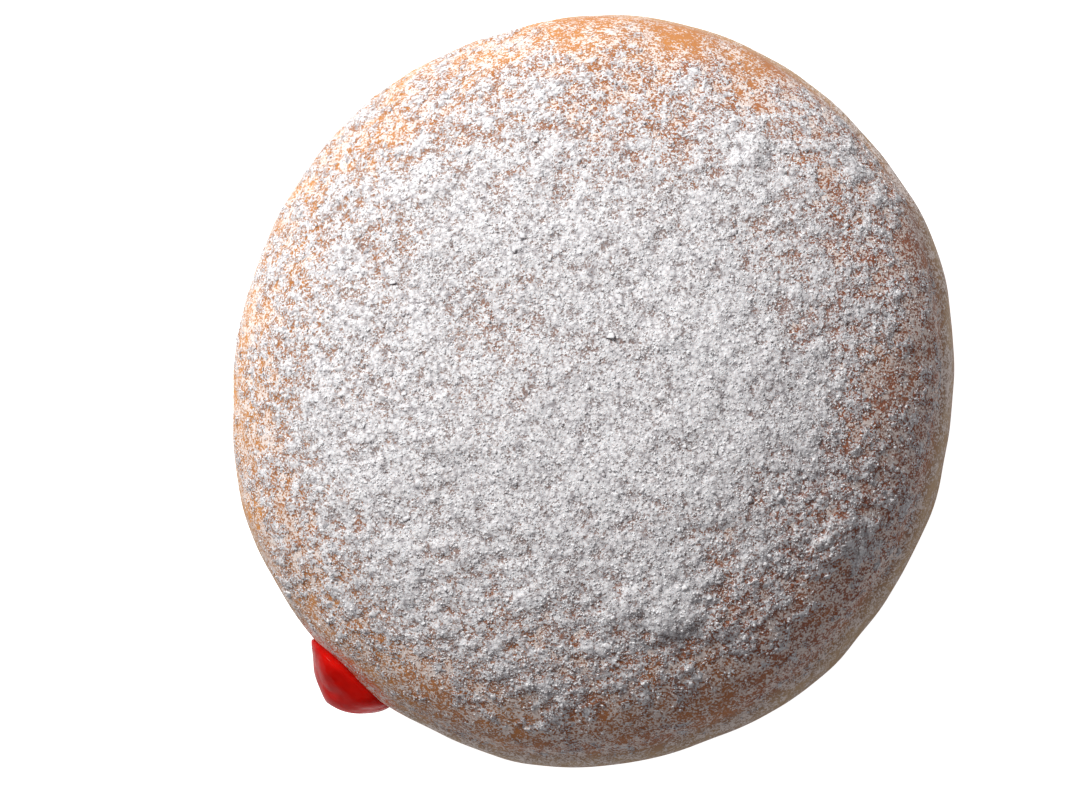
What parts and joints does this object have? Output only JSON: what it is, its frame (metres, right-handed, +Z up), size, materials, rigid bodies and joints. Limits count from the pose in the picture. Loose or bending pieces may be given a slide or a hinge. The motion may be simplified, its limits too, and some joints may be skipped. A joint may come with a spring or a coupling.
{
  "type": "jam doughnut dusted with powdered sugar",
  "caption": "Round fried doughnut filled with red jam, its top dusted with powdered sugar, a blob of the jam out of the filling hole in its side.",
  "frame": {"origin": "on the resting face, in the middle of the doughnut's width and depth", "axes": "+Z up through the sugared top, +Y along the longer way across, and the filling hole with its jam at 229 degrees from +X towards +Y"},
  "size_m": [0.0882, 0.0918, 0.0402],
  "materials": {
    "crust": "matte",
    "jam": "gloss",
    "sugar": "matte"
  },
  "bodies": {
    "root": {"dough": "crust", "jam": "jam"}
  },
  "joints": []
}
